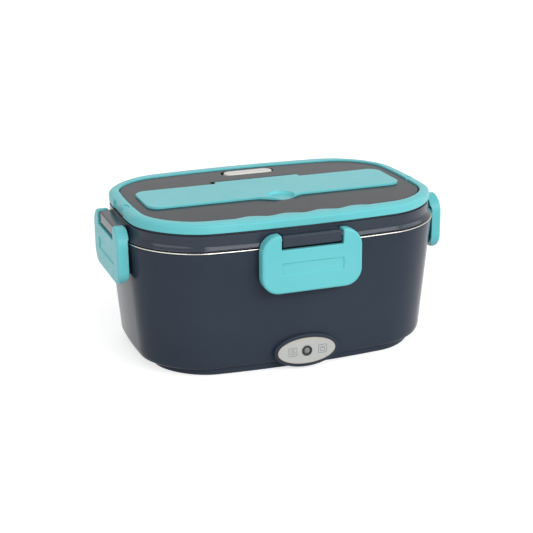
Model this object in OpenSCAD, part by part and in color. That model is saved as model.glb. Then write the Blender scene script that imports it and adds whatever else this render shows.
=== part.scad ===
// Electric lunch box: slate outer case with a lift-out steel pot on a heated plate,
// a lid held down by four snap latches, a fold-up handle round its rim, a cutlery
// compartment with its own cover, and a steam plug.
// Frame: origin at the middle of the footprint, on the ground. +X to the right, +Y to the
// back, +Z up. The front face looks along -Y. All sizes are millimetres.

/* [Case] */
// half length of the case at its top edge
case_a = 111.4; // [111:0.1:111.7]
// half width of the case at its top edge
case_b = 76.9; // [76.6:0.1:77.1]
// height of the case's top edge
case_top = 88.5; // [88.3:0.1:88.5]
// wall of the case
case_wall = 2.0; // [1.6:0.1:2.2]
// how far each long side bows out over its length
bow = 7.5; // [7.3:0.1:7.7]

/* [Steel pot] */
// height of the pot's floor above the ground
pot_floor = 30.3; // [30.3:0.1:30.9]
// sheet thickness of the pot
pot_wall = 0.8; // [0.6:0.1:0.9]

/* [Latches] */
// width of each latch
latch_w = 70.4; // [68:0.4:72]
// bottom edge of each latch above the ground
latch_bottom = 60; // [59:0.5:61]
// top of each latch's ears
latch_top = 100.0; // [99.8:0.1:100.2]
// width of the notch that the hinge block fills
notch_w = 43.6; // [43:0.2:45]
// distance of the front and back latch faces from the middle
latch_face_y = 85.3; // [85.3:0.1:85.6]
// distance of the left and right latch faces from the middle
latch_face_x = 118.8; // [118.8:0.1:119]

/* [Handle] */
// how far each finger bump comes in from the handle's inner edge
grip_bump = 2.9; // [2:0.1:2.9]
// distance between two finger bumps
grip_pitch = 24.4; // [24:0.1:24.6]
// radius of the handle's two hinge pins
handle_pin_r = 1.2; // [1.1:0.1:1.3]

/* [Cutlery cover] */
// half length of the cover
cover_a = 92.9; // [90:0.1:92.9]
// half width of the cover
cover_b = 22.35; // [21.5:0.05:22.4]
// depth of the thumb dish
dish_depth = 1.7; // [1:0.1:1.8]

/* [Indicator] */
// half width of the oval plate
plate_a = 20.8; // [19:0.1:21]
// half height of the oval plate
plate_b = 9.2; // [8.5:0.1:9.4]
// height of the plate's middle above the ground
plate_z = 13.3; // [13:0.1:13.6]

/* [Hidden] */
$fn = 64;
corner_steps = 12;      // segments in each corner of a plan outline
long_steps = 8;         // segments along each long side
short_steps = 4;        // segments along each short side
side_bow = bow / 112;   // bow of the short sides for each mm of half width
gap = 0.1;              // clearance between parts that rest on each other

// heights of the stack
cover_floor = 2.7;      // top of the base cover's floor
case_bottom = 5.5;
liner_lip = 0.75;       // thickness of the liner's flange
liner_top = case_top + liner_lip + 0.05;
rim_z = liner_top + 0.1;
rim_h = 1.0;
liner_floor = 28.2;
lid_bottom = 90.8;
deck_z = 101.9;
ring_z = 102.5;
ring_top = 109.45;
panel_top = 108.3;
panel_under = 106.0;
rebate_z = 107.25;

// latch, in its own frame: x along it, y inwards from its face
latch_half = latch_w / 2;
notch_half = notch_w / 2;
notch_bottom = 89.9;
plate_t = 3.0;
ear_depth = 8.4;
ear_r = 5.2;            // the ears stay inside this round, so they clear the lid as they turn
wall_depth = 7.4;
pin_y = ear_depth / 2;
pin_z = latch_top - pin_y;
latch_pin_r = 1.25;
block_half = notch_half - 1.2;
hook_tip = 5.8;
catch_tip = hook_tip + 0.4;

// handle hinge
hinge_y = -9.0;
hinge_z = 105.9;
arm_end = 13.5;         // the handle's arms end this far in front of the middle
block_end = 12.8;       // the hinge blocks start here
tongue_in = 104.1;
tongue_out = 106.3;
ear_out = 107.8;

// cutlery cover hinge
cover_pin_y = 26.0;
cover_pin_z = 106.9;
cover_pin_r = 1.0;
tab_half = 31.8;
cover_z0 = rebate_z + gap;
cover_z1 = 109.85;
bump_half = 19;
bump_out = 8.4;

// steam plug
plug_x = 2.7;
plug_y = 53.2;
pocket_x = 2.1;
stem_r = 3.0;
plug_floor = 104.6;

// radius of the leads
lead_r = 0.9;

// base
foot_pos = [72, 44];
screw_pos = [80, 30];

slate = [0.20, 0.23, 0.28];
turquoise = [0.38, 0.79, 0.80];
panel_grey = [0.33, 0.34, 0.37];
steel = [0.78, 0.77, 0.74];
aluminium = [0.75, 0.76, 0.78];
black = [0.06, 0.06, 0.07];
white = [0.88, 0.87, 0.84];
silver = [0.74, 0.75, 0.74];
brass = [0.78, 0.62, 0.30];
ceramic = [0.85, 0.83, 0.78];

// ---- plan outlines ----

function sgn(v) = v < 0 ? -1 : 1;

// a point of the straight-sided outline, moved out onto the bowed one
function bowed(p, a0, b0, bx) =
    [p[0] + sgn(p[0]) * bx * (1 - pow(p[1] / b0, 2)) * abs(p[0]) / a0,
     p[1] + sgn(p[1]) * bow * (1 - pow(p[0] / a0, 2)) * abs(p[1]) / b0];

function corner(cx, cy, r, start) =
    [for (i = [0:corner_steps])
        let (t = start + 90 * i / corner_steps) [cx + r * cos(t), cy + r * sin(t)]];

// closed outline of half length a, half width b and corner radius r, anticlockwise
function plan(a, b, r) =
    let (bx = side_bow * b, a0 = a - bx, b0 = b - bow, u = a0 - r, v = b0 - r)
    [for (p = concat(
        corner(u, v, r, 0),
        [for (i = [1:long_steps - 1]) [u * (1 - 2 * i / long_steps), b0]],
        corner(-u, v, r, 90),
        [for (i = [1:short_steps - 1]) [-a0, v * (1 - 2 * i / short_steps)]],
        corner(-u, -v, r, 180),
        [for (i = [1:long_steps - 1]) [-u * (1 - 2 * i / long_steps), -b0]],
        corner(u, -v, r, 270),
        [for (i = [1:short_steps - 1]) [a0, -v * (1 - 2 * i / short_steps)]]))
        bowed(p, a0, b0, bx)];

// skin through a list of sections [a, b, r, z]. A loop closes on itself, otherwise the
// first and the last section are capped
module loft(sections, loop = false) {
    rings = [for (s = sections) [for (p = plan(s[0], s[1], s[2])) [p[0], p[1], s[3]]]];
    n = len(rings[0]);
    m = len(rings);
    bands = loop ? m : m - 1;
    walls = [for (k = [0:bands - 1]) for (i = [0:n - 1])
        let (k2 = (k + 1) % m, i2 = (i + 1) % n)
        each [[k * n + i, k2 * n + i, k2 * n + i2], [k * n + i, k2 * n + i2, k * n + i2]]];
    caps = loop ? [] : [[for (i = [0:n - 1]) i], [for (i = [0:n - 1]) m * n - 1 - i]];
    polyhedron(points = [for (r = rings) each r], faces = concat(walls, caps));
}

// a section set in by d from the pot's rim
function inset(d, z) = [112 - d, 77.4 - d, 42.4 - d, z];

// ---- half rings: the handle and the rear trim ----

wave_end = 2 * grip_pitch + 0.2;
bump_x = grip_pitch / 2 + 0.2;
front_steps = 48;

function half_plan(a, b, r, y_end, bump) =
    let (bx = side_bow * b, a0 = a - bx, b0 = b - bow, u = a0 - r, v = b0 - r)
    [for (p = concat(
        [for (i = [0:3]) [-a0, -y_end - (v - y_end) * i / 4]],
        corner(-u, -v, r, 180),
        [for (i = [1:front_steps - 1]) [u * (2 * i / front_steps - 1), -b0]],
        corner(u, -v, r, 270),
        [for (i = [0:3]) [a0, -v + (v - y_end) * (i + 1) / 4]]))
        let (q = bowed(p, a0, b0, bx),
             w = abs(q[0]) < wave_end && q[1] < -v ? bump : 0)
        [q[0], q[1] + w * (0.5 + 0.5 * cos(360 * (q[0] - bump_x) / grip_pitch))]];

// cross-section of the ring: [share of the way in, height]
ring_profile = [[0, ring_z], [0, 106.2], [0.04, 107.6], [0.13, 108.6], [0.32, 109.2],
    [0.62, ring_top], [0.92, 109.35], [1, 108.9], [1, ring_z]];

module half_ring(inner, y_end, bump) {
    outer = half_plan(109.2, 76.2, 41.4, y_end, 0);
    inside = half_plan(inner[0], inner[1], inner[2], y_end, bump);
    n = len(ring_profile);
    m = len(outer);
    pts = [for (k = [0:m - 1]) for (p = ring_profile)
        [outer[k][0] + p[0] * (inside[k][0] - outer[k][0]),
         outer[k][1] + p[0] * (inside[k][1] - outer[k][1]), p[1]]];
    walls = [for (k = [0:m - 2]) for (i = [0:n - 1])
        let (k2 = k + 1, i2 = (i + 1) % n)
        each [[k * n + i, k * n + i2, k2 * n + i2], [k * n + i, k2 * n + i2, k2 * n + i]]];
    caps = [[for (i = [0:n - 1]) n - 1 - i], [for (i = [0:n - 1]) (m - 1) * n + i]];
    polyhedron(points = pts, faces = concat(walls, caps));
}

// ---- small shapes ----

// box given by its two corners
module block(lo, hi) {
    translate(lo) cube([hi[0] - lo[0], hi[1] - lo[1], hi[2] - lo[2]]);
}

// cylinder along X from x0 to x1
module rod_x(r, x0, x1, y, z) {
    translate([x0, y, z]) rotate([0, 90, 0]) cylinder(r = r, h = x1 - x0);
}

// cylinder along Y from y0 to y1
module rod_y(r, y0, y1, x, z) {
    translate([x, y1, z]) rotate([90, 0, 0]) cylinder(r = r, h = y1 - y0);
}

// flat shape drawn in x and z, standing between y0 and y1
module upright(y0, y1) {
    translate([0, y1, 0]) rotate([90, 0, 0]) linear_extrude(y1 - y0) children();
}

// side profile drawn in y and z, run along x from -half to half
module along_x(half) {
    rotate([90, 0, 90]) translate([0, 0, -half]) linear_extrude(2 * half) children();
}

// rectangle of half sizes a and b with round corners of radius r
module round_rect(a, b, r) {
    square([2 * (a - r), 2 * b], center = true);
    square([2 * a, 2 * (b - r)], center = true);
    for (x = [-1, 1]) for (y = [-1, 1]) translate([x * (a - r), y * (b - r)]) circle(r = r);
}

// rectangle of half length a with round ends of radius r
module slot_shape(a, r) {
    square([2 * (a - r), 2 * r], center = true);
    for (x = [-1, 1]) translate([x * (a - r), 0]) circle(r = r);
}

module oval(a, b) {
    polygon([for (i = [0:71]) [a * cos(5 * i), plate_z + b * sin(5 * i)]]);
}

// the child in each of the four corners
module corners(pos) {
    for (x = [-1, 1]) for (y = [-1, 1]) translate([x * pos[0], y * pos[1], 0]) children();
}

// the child, drawn in the latch frame, at one side of the box
module at_front() { translate([0, -latch_face_y, 0]) children(); }
module at_back() { translate([0, latch_face_y, 0]) rotate([0, 0, 180]) children(); }
module at_left() { translate([-latch_face_x, 0, 0]) rotate([0, 0, -90]) children(); }
module at_right() { translate([latch_face_x, 0, 0]) rotate([0, 0, 90]) children(); }

// ---- base ----

// rib that a latch hook sits under. root is how deep it reaches into the case wall
module catch_rib(root) {
    along_x(28) polygon([[root, 67.2], [catch_tip, 67.2], [catch_tip, 69.6], [root, 73]]);
}

module outer_shell() {
    color(slate) difference() {
        union() {
            loft([[95.6, 65.0, 30.6, case_bottom], [102.2, 67.7, 35, case_bottom],
                [103.4, 68.5, 35.7, 6.0], [104.2, 69.1, 36.2, 6.9], [104.9, 69.6, 36.6, 9.5],
                [105.2, 69.9, 36.8, 13.5], [case_a, case_b, 42, case_top],
                [case_a - case_wall, case_b - case_wall, 40, case_top],
                [105.2 - case_wall, 69.9 - case_wall, 34.8, 13.5], [102.4, 67.2, 34.2, 9.6],
                [101.0, 66.4, 33.4, 8.2], [95.6, 65.0, 30.6, 7.6]], loop = true);
            upright(-72.7, -66.2) oval(plate_a + 2.5, plate_b + 2.5);
            upright(-73.5, -72.7) oval(plate_a + 1.9, plate_b + 1.9);
            for (x = [-10, 10]) rod_y(1.8, -68.6, -62.65, x, plate_z);
            translate([0, 0, 15]) upright(66.2, 72) round_rect(18, 9, 4);
            at_front() catch_rib(11.2);
            at_back() catch_rib(11.2);
            at_left() catch_rib(10.4);
            at_right() catch_rib(10.4);
        }
        upright(-73.6, -73.0) oval(plate_a + 0.2, plate_b + 0.2);
        rod_y(2.85, -74, -60, 0, plate_z);
        translate([0, 0, 15]) upright(60, 73) round_rect(12.6, 6.6, 2.6);
    }
}

module base_cover() {
    color(slate) difference() {
        union() {
            loft([[94.8, 65.0, 30.1, 0.5], [96.0, 66.2, 31.3, 1.6],
                [96.0, 66.2, 31.3, case_bottom - gap], [95.3, 64.7, 30.3, case_bottom - gap],
                [95.3, 64.7, 30.3, 7.3], [93.5, 62.9, 28.5, 7.3],
                [93.5, 62.9, 28.5, cover_floor]]);
            corners(screw_pos) translate([0, 0, 2]) cylinder(r = 5, h = 4);
        }
        corners(foot_pos) cylinder(r = 7.2, h = 1.6);
        corners(screw_pos) {
            cylinder(r = 3.6, h = 3.5);
            cylinder(r = 1.7, h = 8);
        }
        for (i = [-2:2]) translate([0, 8 * i, 0]) linear_extrude(4) slot_shape(20, 1.2);
    }
}

module base_screws() {
    color(steel) corners(screw_pos) difference() {
        union() {
            translate([0, 0, 1.3]) cylinder(r = 3.2, h = 2.2);
            translate([0, 0, 1.3]) cylinder(r = 1.45, h = 16.7);
        }
        block([-2, -0.35, 1], [2, 0.35, 2.3]);
        block([-0.35, -2, 1], [0.35, 2, 2.3]);
    }
}

module rubber_feet() {
    color(black) corners(foot_pos) rotate_extrude()
        polygon([[0, 0], [6.3, 0], [7, 0.5], [7, 1.55], [0, 1.55]]);
}

module inner_liner() {
    color(slate) difference() {
        union() {
            loft([[92, 57.5, 24, liner_floor - 1.8], [99, 64.5, 31, 27.6],
                [102.6, 68.0, 34.2, 31], [103.9, 69.3, 35.3, 38],
                [109.1, 74.5, 39.6, case_top + 0.05], [111.1, 76.5, 41.6, case_top + 0.05],
                [111.1, 76.5, 41.6, liner_top], [107.9, 73.3, 38.4, liner_top],
                [102.7, 68.1, 34.1, 38], [101.3, 66.8, 33, 32], [98, 63.5, 30, 29.2],
                [91.5, 57, 23.5, liner_floor]]);
            corners(screw_pos) translate([0, 0, 6.1]) cylinder(r = 3.6, h = 21.3);
        }
        translate([0, 0, 20]) linear_extrude(20) round_rect(75, 42, 18);
        corners(screw_pos) translate([0, 0, 6]) cylinder(r = 1.5, h = 14);
    }
}

module heating_plate() {
    plate_z0 = liner_floor + 0.05;
    color(aluminium) difference() {
        union() {
            translate([0, 0, plate_z0]) linear_extrude(2) round_rect(80, 47, 22);
            block([-30, -22, 24], [30, 22, plate_z0 + 0.5]);
            for (x = [-42, 42]) translate([x, 0, 18]) cylinder(r = 3, h = 11);
        }
        for (x = [-42, 42]) translate([x, 0, 17]) cylinder(r = 1.5, h = 8);
    }
}

module ptc_heater() {
    color(steel) difference() {
        block([-28, -20, 17.95], [28, 20, 23.95]);
        for (x = [-29, 27]) block([x, -18, 19.5], [x + 2, 18, 22.4]);
    }
}

module heater_clamp() {
    color(steel) difference() {
        block([-48, -8, 16.4], [48, 8, 17.9]);
        for (x = [-42, 42]) translate([x, 0, 16]) cylinder(r = 1.7, h = 3);
    }
}

module clamp_screws() {
    color(steel) for (x = [-42, 42]) translate([x, 0, 0]) difference() {
        union() {
            translate([0, 0, 14.2]) cylinder(r = 2.8, h = 2.15);
            translate([0, 0, 14.2]) cylinder(r = 1.45, h = 10);
        }
        block([-1.8, -0.35, 14], [1.8, 0.35, 15]);
        block([-0.35, -1.8, 14], [0.35, 1.8, 15]);
    }
}

module thermostat() {
    translate([-62, 0, 0]) {
        color(aluminium) translate([0, 0, 24.2]) cylinder(r = 8.2, h = 3.95);
        color(ceramic) translate([0, 0, 16]) cylinder(r = 7, h = 8.4);
        color(brass) for (y = [-3.6, 3.6]) block([-3.1, y - 0.4, 9], [3.1, y + 0.4, 16.2]);
    }
}

module thermal_fuse() {
    color(white) rod_y(2, -7, 7, 62, 26.1);
    color(brass) rod_y(0.5, -15, 15, 62, 26.1);
}

// insulated lead: an eight-sided tube along a list of points
function unit(v) = v / norm(v);
function heading(points, k) =
    let (m = len(points) - 1)
    unit((k < m ? unit(points[k + 1] - points[k]) : [0, 0, 0])
        + (k > 0 ? unit(points[k] - points[k - 1]) : [0, 0, 0]));

module lead(points) {
    n = 8;
    m = len(points);
    pts = [for (k = [0:m - 1]) for (i = [0:n - 1])
        let (d = heading(points, k), u = unit(cross(d, [1, 0.37, 0.21])), v = cross(d, u))
        points[k] + lead_r * (cos(45 * i) * u + sin(45 * i) * v)];
    walls = [for (k = [0:m - 2]) for (i = [0:n - 1])
        let (i2 = (i + 1) % n, k2 = k + 1)
        each [[k * n + i, k2 * n + i, k2 * n + i2], [k * n + i, k2 * n + i2, k * n + i2]]];
    caps = [[for (i = [0:n - 1]) i], [for (i = [0:n - 1]) m * n - 1 - i]];
    polyhedron(points = pts, faces = concat(walls, caps));
}

module wiring() {
    color([0.75, 0.1, 0.08]) lead([[-4.3, 52.9, 15], [-4.3, 49, 10.5], [-40, 30, 8],
        [-56.5, 6.5, 8], [-57.8, 3.6, 12]]);
    color([0.1, 0.2, 0.6]) lead([[4.3, 52.9, 15], [4.3, 49, 10.5], [40, 34, 9], [62, 24, 14],
        [62, 16.1, 26.1]]);
    color([0.75, 0.1, 0.08]) lead([[-57.8, -3.6, 12], [-50, -14, 9], [-36, -16, 14],
        [-29.1, -14, 20.9]]);
    color([0.1, 0.2, 0.6]) lead([[62, -16.1, 26.1], [62, -24, 18], [40, -20, 14],
        [29.1, -14, 20.9]]);
    color([0.85, 0.7, 0.1]) lead([[-8, -59.9, 11], [-8, -50, 8], [-40, -22, 8],
        [-50, -16, 9.1]]);
}

// ---- lamp and socket ----

module indicator_plate() {
    color(silver) difference() {
        upright(-73.8, -73.0) oval(plate_a, plate_b);
        rod_y(2.85, -75, -72, 0, plate_z);
    }
}

module lamp_bezel() {
    color(black) difference() {
        union() {
            rod_y(3.65, -74.5, -73.82, 0, plate_z);
            rod_y(2.8, -74.5, -66, 0, plate_z);
        }
        rod_y(2.25, -75, -65, 0, plate_z);
    }
}

module lamp_lens() {
    color([0.55, 0.56, 0.57]) {
        rod_y(2.2, -73.9, -68, 0, plate_z);
        translate([0, -73.9, plate_z]) rotate([90, 0, 0]) rotate_extrude()
            polygon([[0, 0], [2.2, 0], [1.8, 0.3], [1, 0.5], [0, 0.55]]);
    }
}

module led_board() {
    color([0.1, 0.35, 0.2]) block([-13, -62.6, 8], [13, -61, 21]);
    color(white) {
        rod_y(1.5, -66, -62.6, 0, plate_z);
        translate([0, -66, plate_z]) sphere(r = 1.5);
        rod_y(1.9, -63.4, -62.6, 0, plate_z);
    }
    color(black) block([4, -60.99, 12], [7, -59.5, 15]);
}

module power_inlet() {
    color(black) difference() {
        union() {
            translate([0, 0, 15]) upright(57, 72.2) round_rect(12.4, 6.4, 2.4);
            translate([0, 0, 15]) upright(72.05, 73.6) round_rect(17, 9, 3);
            for (x = [-13.5, 13.5]) hull() {
                rod_x(1.7, x - 1.5, x + 1.5, 75, 25.9);
                block([x - 1.5, 72.05, 24], [x + 1.5, 73.6, 26]);
            }
        }
        translate([0, 0, 15]) upright(61, 74) slot_shape(9, 4);
        for (x = [-4.3, 4.3]) rod_y(1.22, 56, 62, x, 15);
        rod_x(0.82, -14.6, 14.6, 75, 25.9);
    }
}

module inlet_pins() {
    color(brass) for (x = [-4.3, 4.3]) rod_y(1.2, 54, 68, x, 15);
}

module inlet_hinge_pin() {
    color(steel) rod_x(0.8, -14.4, 14.4, 75, 25.9);
}

module inlet_cover() {
    color(black) difference() {
        union() {
            rod_x(1.6, -11.6, 11.6, 75, 25.9);
            block([-11.6, 73.75, 22], [11.6, 75.4, 25.9]);
            translate([0, 0, 15]) upright(73.75, 75.4) round_rect(16, 8.5, 3);
            block([-5, 75.3, 6.6], [5, 76.6, 8.2]);
        }
        rod_x(0.86, -12, 12, 75, 25.9);
    }
}

// ---- pot ----

module steel_pot() {
    w = pot_wall;
    top = rim_z + rim_h;
    color(steel) loft([[90, 55.5, 22, pot_floor], [97, 62.5, 29, pot_floor + 0.9],
        [100.6, 66.0, 32.4, pot_floor + 4.2], [101.5, 66.9, 33.2, 40],
        [106.9, 72.2, 37.7, rim_z - 0.8], [107.3, 72.6, 38.0, rim_z],
        inset(0.4, rim_z), inset(-0.1, rim_z + 0.5), inset(0.4, top),
        [107.3 - w, 72.6 - w, 37.2, top], [106.9 - w, 72.2 - w, 36.9, rim_z - 0.4],
        [101.5 - w, 66.9 - w, 32.4, 40], [100.6 - w, 66.0 - w, 31.6, pot_floor + 4.6],
        [97 - w, 62.5 - w, 28.2, pot_floor + 0.9 + w], [89.8, 55.3, 21.8, pot_floor + w]]);
}

// ---- lid ----

// block on the lid that carries a latch's pin. low and high are how deep it reaches into
// the lip and into the skirt above it
module hinge_block(low, high) {
    difference() {
        along_x(block_half)
            polygon([[1.2, 91.9], [1.9, 91.2], [low, 91.2], [low, 93.2], [high, 95.2],
                [high, 99.5], [2.0, 99.1], [1.2, 98.4]]);
        rod_x(latch_pin_r + 0.07, -30, 30, pin_y, pin_z);
    }
}

module lid_shell() {
    color(slate) difference() {
        union() {
            loft([[106.6, 73.5, 38.8, 100], [107.0, 73.9, 39.2, 99.6],
                [107.0, 73.9, 39.2, 95.2], [107.3, 74.1, 39.3, 94.7],
                [110.0, 75.6, 40.5, 92.6], [110.0, 75.6, 40.5, lid_bottom],
                [111.3, 76.7, 41.7, lid_bottom], [111.6, 77.0, 42, 91.4],
                [109.6, 75.9, 41.6, 94.3], [109.1, 75.8, 41.3, 95],
                [109.0, 75.7, 41.2, 101], [107.5, 74.2, 39.7, 101],
                [107.3, 74.0, 39.5, deck_z]]);
            at_front() hinge_block(9.4, 10.6);
            at_back() hinge_block(9.4, 10.6);
            at_left() hinge_block(8.5, 10.8);
            at_right() hinge_block(8.5, 10.8);
        }
        translate([0, 0, 99]) linear_extrude(4) round_rect(90.6, 21.2, 4);
        translate([plug_x, plug_y, 99]) cylinder(r = stem_r + 0.25, h = 4);
    }
}

module lid_liner() {
    color(slate) difference() {
        loft([[102.9, 68.4, 33.4, 92.0], [104.0, 69.5, 34.5, lid_bottom],
            [105.6, 71.1, 36.1, lid_bottom], [105.6, 71.1, 36.1, 92.7],
            [108.6, 74.1, 39.1, 92.7], [108.6, 74.1, 39.1, lid_bottom],
            [109.7, 75.2, 40.2, lid_bottom], [109.7, 75.2, 40.2, 92.3],
            [108.2, 73.7, 38.7, 93.6]]);
        translate([plug_x, plug_y, 91]) cylinder(r = stem_r + 0.25, h = 4);
    }
}

module lid_seal() {
    color(white) loft([[105.8, 71.3, 36.3, 90.9], [106.6, 72.1, 37.1, rim_z + rim_h + 0.05],
        [107.8, 73.3, 38.3, rim_z + rim_h + 0.05], [108.4, 73.9, 38.9, 90.9],
        [108.4, 73.9, 38.9, 92.65], [105.8, 71.3, 36.3, 92.65]], loop = true);
}

// plan of the cutlery cover without its hinge tab, grown by m
module cover_plan(m) {
    round_rect(cover_a + m, cover_b + m, 9 + m);
    polygon(concat([[bump_half + m, 0], [-bump_half - m, 0]],
        [for (i = [0:24])
            let (x = (bump_half + m) * (i / 12 - 1))
            [x, -cover_b - m - bump_out * (0.5 + 0.5 * cos(180 * x / (bump_half + m)))]]));
}

module lid_top_panel() {
    color(panel_grey) difference() {
        union() {
            loft([[99.2, 62.9, 25.6, panel_under], [99.2, 62.9, 25.6, deck_z + 0.05],
                [101.2, 64.9, 27.5, deck_z + 0.05], [101.2, 64.9, 27.5, panel_top - 0.7],
                [100.5, 64.2, 26.8, panel_top]]);
            translate([0, 0, 94.2]) linear_extrude(12) round_rect(90, 20.6, 3.6);
            block([-36, 18, 102.2], [36, 35.6, 106.2]);
            translate([pocket_x, plug_y, 102.2]) linear_extrude(4) slot_shape(22.4, 8.2);
        }
        translate([0, 0, rebate_z]) linear_extrude(3) cover_plan(0.35);
        translate([0, 0, 95.4]) linear_extrude(20) round_rect(88.4, 19, 2.4);
        block([-33.2, 21, 104.2], [33.2, 33.4, 110]);
        rod_x(cover_pin_r + 0.02, -35.7, 35.7, cover_pin_y, cover_pin_z);
        translate([pocket_x, plug_y, plug_floor]) linear_extrude(6) slot_shape(20.4, 6.2);
        translate([plug_x, plug_y, 101]) cylinder(r = stem_r + 0.25, h = 6);
    }
}

module rear_trim() {
    color(turquoise) difference() {
        union() {
            mirror([0, 1, 0]) half_ring([101.8, 65.4, 28.1], -block_end, 0);
            for (x = [-104.5, 104.5]) for (y = [9, 22])
                translate([x, y, deck_z + 0.05]) cylinder(r = 1.6, h = 2);
            for (x = [-60, 0, 60]) translate([x, 68.5 - abs(x) / 30, deck_z + 0.05])
                cylinder(r = 1.6, h = 2);
        }
        for (s = [-1, 1]) {
            // outer face set in between the two joints of the ring
            block([s > 0 ? ear_out : -112, -14, 100], [s > 0 ? 112 : -ear_out, 13.4, 112]);
            // slot for the handle's tongue
            block([s > 0 ? 103.9 : -106.5, -14, 100], [s > 0 ? 106.5 : -103.9, -5.6, 112]);
            rod_x(handle_pin_r + 0.02, s > 0 ? 102.3 : -107.7, s > 0 ? 107.7 : -102.3,
                hinge_y, hinge_z);
        }
        difference() {
            block([-112, -14, hinge_z], [112, hinge_y, 112]);
            rod_x(3.8, -113, 113, hinge_y, hinge_z);
        }
    }
}

module handle_pins() {
    color(steel) for (s = [-1, 1])
        rod_x(handle_pin_r, s > 0 ? 102.4 : -107.6, s > 0 ? 107.6 : -102.4, hinge_y, hinge_z);
}

module cover_hinge_pin() {
    color(steel) rod_x(cover_pin_r, -35.5, 35.5, cover_pin_y, cover_pin_z);
}

module handle() {
    color(turquoise) difference() {
        union() {
            half_ring([101.8, 68.2, 30.5], arm_end, grip_bump);
            for (s = [-1, 1]) {
                x0 = s > 0 ? tongue_in : -tongue_out;
                rod_x(3.0, x0, x0 + tongue_out - tongue_in, hinge_y, hinge_z);
                block([x0, -15, hinge_z - 3], [x0 + tongue_out - tongue_in, hinge_y,
                    hinge_z + 2.6]);
            }
        }
        for (s = [-1, 1])
            rod_x(handle_pin_r + 0.06, s > 0 ? 103 : -107.5, s > 0 ? 107.5 : -103,
                hinge_y, hinge_z);
    }
}

module cutlery_cover() {
    color(turquoise) difference() {
        union() {
            translate([0, 0, cover_z0]) linear_extrude(cover_z1 - cover_z0) {
                cover_plan(0);
                translate([-tab_half, 18]) square([2 * tab_half, 9.2]);
            }
            rod_x(1.7, -tab_half, tab_half, cover_pin_y, cover_pin_z);
            translate([0, 0, 105.8]) linear_extrude(2) difference() {
                round_rect(87.5, 18.1, 2);
                round_rect(86.3, 16.9, 1);
            }
        }
        translate([1, -22.6, cover_z1 - dish_depth])
            cylinder(r1 = 7.6, r2 = 9.6, h = dish_depth + 0.05);
        rod_x(cover_pin_r + 0.05, -40, 40, cover_pin_y, cover_pin_z);
    }
}

module vent_plug() {
    color(white) translate([plug_x, plug_y, 0]) {
        translate([0, 0, plug_floor + gap]) linear_extrude(3.4) slot_shape(18.6, 5.6);
        translate([0, 0, plug_floor + gap]) linear_extrude(3.9) slot_shape(18.1, 5.1);
        translate([0, 0, 92.2]) cylinder(r = stem_r, h = 13);
    }
}

// ---- latches ----

// front view of a latch, shrunk by m
module latch_view(m) {
    w = latch_half - m;
    low = latch_bottom + m;
    r1 = 12.0 - m;
    r2 = 12.5 - m;
    top = latch_top - m;
    difference() {
        union() {
            translate([-w, low + r1]) square([2 * w, top - r2 - low - r1]);
            translate([-w + r1, low]) square([2 * (w - r1), r1 + 2]);
            translate([-w + r2, top - r2 - 2]) square([2 * (w - r2), r2 + 2]);
            for (s = [-1, 1]) {
                translate([s * (w - r1), low + r1]) circle(r = r1);
                translate([s * (w - r2), top - r2]) circle(r = r2);
            }
        }
        translate([-notch_half - m, notch_bottom - m]) square([2 * (notch_half + m), 20]);
    }
}

module latch() {
    color(turquoise) difference() {
        intersection() {
            upright(0, 10) latch_view(0);
            union() {
                block([-40, 0, 55], [40, plate_t, pin_z]);
                intersection() {
                    rod_x(ear_r, -40, 40, pin_y, pin_z);
                    block([-40, 0, 88], [40, ear_depth, 102]);
                }
                along_x(40) polygon([[2, 79], [2, 96], [pin_y, 96], [5.4, 91], [5.0, 84],
                    [3, 79]]);
                for (s = [-1, 1]) translate([s * (latch_half - 1.3), 0, 0]) along_x(1.3)
                    polygon([[0, 60], [3.6, 60], [wall_depth, 67], [wall_depth, 94],
                        [5, 95], [0, 95]]);
                along_x(29) polygon([[2, 61.5], [4.4, 61.5], [hook_tip, 64],
                    [hook_tip, 66.4], [2, 67.4]]);
            }
        }
        // thin down the middle behind the notch, so the wall is even
        block([-notch_half - 0.1, plate_t, 78], [notch_half + 0.1, 12, notch_bottom + 0.4]);
        // thumb pad
        upright(-1, 0.8) translate([0, 76.7]) square([44.2, 8.8], center = true);
        rod_x(latch_pin_r + 0.02, -30.2, 30.2, pin_y, pin_z);
    }
}

module latch_pin() {
    color(steel) rod_x(latch_pin_r, -30, 30, pin_y, pin_z);
}

module latch_front() { at_front() latch(); }
module latch_back() { at_back() latch(); }
module latch_left() { at_left() latch(); }
module latch_right() { at_right() latch(); }
module latch_pin_front() { at_front() latch_pin(); }
module latch_pin_back() { at_back() latch_pin(); }
module latch_pin_left() { at_left() latch_pin(); }
module latch_pin_right() { at_right() latch_pin(); }

outer_shell();
base_cover();
base_screws();
rubber_feet();
inner_liner();
heating_plate();
ptc_heater();
heater_clamp();
clamp_screws();
thermostat();
thermal_fuse();
wiring();
indicator_plate();
lamp_bezel();
lamp_lens();
led_board();
power_inlet();
inlet_pins();
inlet_hinge_pin();
inlet_cover();
steel_pot();
lid_shell();
lid_liner();
lid_seal();
lid_top_panel();
rear_trim();
handle_pins();
cover_hinge_pin();
handle();
cutlery_cover();
vent_plug();
latch_front();
latch_back();
latch_left();
latch_right();
latch_pin_front();
latch_pin_back();
latch_pin_left();
latch_pin_right();
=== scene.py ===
# Heated lunch box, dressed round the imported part. Sizes in the tables are millimetres.
import math
import bmesh
import bpy
from mathutils import Matrix, Vector


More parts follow.
